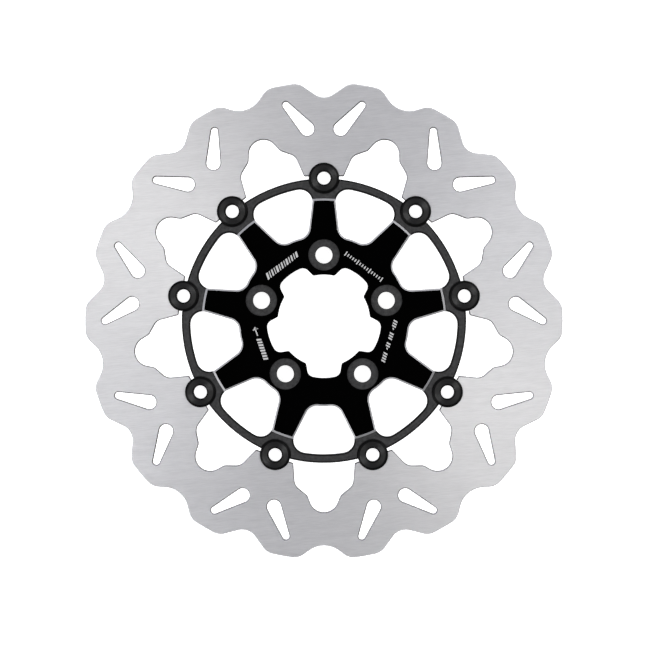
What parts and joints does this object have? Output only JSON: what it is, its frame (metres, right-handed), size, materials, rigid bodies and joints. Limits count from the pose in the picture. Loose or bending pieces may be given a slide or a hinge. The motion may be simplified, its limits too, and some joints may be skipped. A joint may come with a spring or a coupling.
{
  "type": "floating brake disc",
  "caption": "Floating motorcycle brake disc: wave-edged slotted steel ring carried on turned bobbins by a black spoked aluminium carrier with a bolt circle.",
  "frame": {"origin": "centre of the bolt circle on the hub's rear mounting face", "axes": "+Z along the wheel's axle, out of the wheel, so the black front face looks along +Z; +Y through bobbin 1 and hub bolt 1"},
  "size_m": [0.3, 0.2976, 0.0113],
  "materials": {
    "disc": "satin",
    "carrier": "satin",
    "bobbin": "satin",
    "spring_steel": "satin",
    "washer": "satin",
    "circlip": "satin"
  },
  "bodies": {
    "carrier": {"carrier": "carrier"},
    "disc": {"disc": "disc"},
    "bobbin_1": {"bobbin_1": "bobbin", "wave_washer_1": "spring_steel", "flat_washer_1": "washer", "circlip_1": "circlip"},
    "bobbin_2": {"bobbin_2": "bobbin", "wave_washer_2": "spring_steel", "flat_washer_2": "washer", "circlip_2": "circlip"},
    "bobbin_3": {"bobbin_3": "bobbin", "wave_washer_3": "spring_steel", "flat_washer_3": "washer", "circlip_3": "circlip"},
    "bobbin_4": {"bobbin_4": "bobbin", "wave_washer_4": "spring_steel", "flat_washer_4": "washer", "circlip_4": "circlip"},
    "bobbin_5": {"bobbin_5": "bobbin", "wave_washer_5": "spring_steel", "flat_washer_5": "washer", "circlip_5": "circlip"},
    "bobbin_6": {"bobbin_6": "bobbin", "wave_washer_6": "spring_steel", "flat_washer_6": "washer", "circlip_6": "circlip"},
    "bobbin_7": {"bobbin_7": "bobbin", "wave_washer_7": "spring_steel", "flat_washer_7": "washer", "circlip_7": "circlip"},
    "bobbin_8": {"bobbin_8": "bobbin", "wave_washer_8": "spring_steel", "flat_washer_8": "washer", "circlip_8": "circlip"},
    "bobbin_9": {"bobbin_9": "bobbin", "wave_washer_9": "spring_steel", "flat_washer_9": "washer", "circlip_9": "circlip"}
  },
  "joints": [
    {"name": "disc_float", "type": "slide", "parent": "carrier", "child": "disc", "axis": [0, 0, 1], "range_m": [-0.0003, 0], "stiffness_N_per_m": 40000, "springref_m": 0.0005, "deforming": ["wave_washer_1", "wave_washer_2", "wave_washer_3", "wave_washer_4", "wave_washer_5", "wave_washer_6", "wave_washer_7", "wave_washer_8", "wave_washer_9"]},
    {"name": "bobbin_1_spin", "type": "hinge", "parent": "carrier", "child": "bobbin_1", "pos_m": [0, 0.08965, 0.0065], "axis": [0, 0, 1], "continuous": true},
    {"name": "bobbin_2_spin", "type": "hinge", "parent": "carrier", "child": "bobbin_2", "pos_m": [-0.05763, 0.06868, 0.0065], "axis": [0, 0, 1], "continuous": true},
    {"name": "bobbin_3_spin", "type": "hinge", "parent": "carrier", "child": "bobbin_3", "pos_m": [-0.08829, 0.01557, 0.0065], "axis": [0, 0, 1], "continuous": true},
    {"name": "bobbin_4_spin", "type": "hinge", "parent": "carrier", "child": "bobbin_4", "pos_m": [-0.07764, -0.04482, 0.0065], "axis": [0, 0, 1], "continuous": true},
    {"name": "bobbin_5_spin", "type": "hinge", "parent": "carrier", "child": "bobbin_5", "pos_m": [-0.03066, -0.08424, 0.0065], "axis": [0, 0, 1], "continuous": true},
    {"name": "bobbin_6_spin", "type": "hinge", "parent": "carrier", "child": "bobbin_6", "pos_m": [0.03066, -0.08424, 0.0065], "axis": [0, 0, 1], "continuous": true},
    {"name": "bobbin_7_spin", "type": "hinge", "parent": "carrier", "child": "bobbin_7", "pos_m": [0.07764, -0.04482, 0.0065], "axis": [0, 0, 1], "continuous": true},
    {"name": "bobbin_8_spin", "type": "hinge", "parent": "carrier", "child": "bobbin_8", "pos_m": [0.08829, 0.01557, 0.0065], "axis": [0, 0, 1], "continuous": true},
    {"name": "bobbin_9_spin", "type": "hinge", "parent": "carrier", "child": "bobbin_9", "pos_m": [0.05763, 0.06868, 0.0065], "axis": [0, 0, 1], "continuous": true}
  ]
}
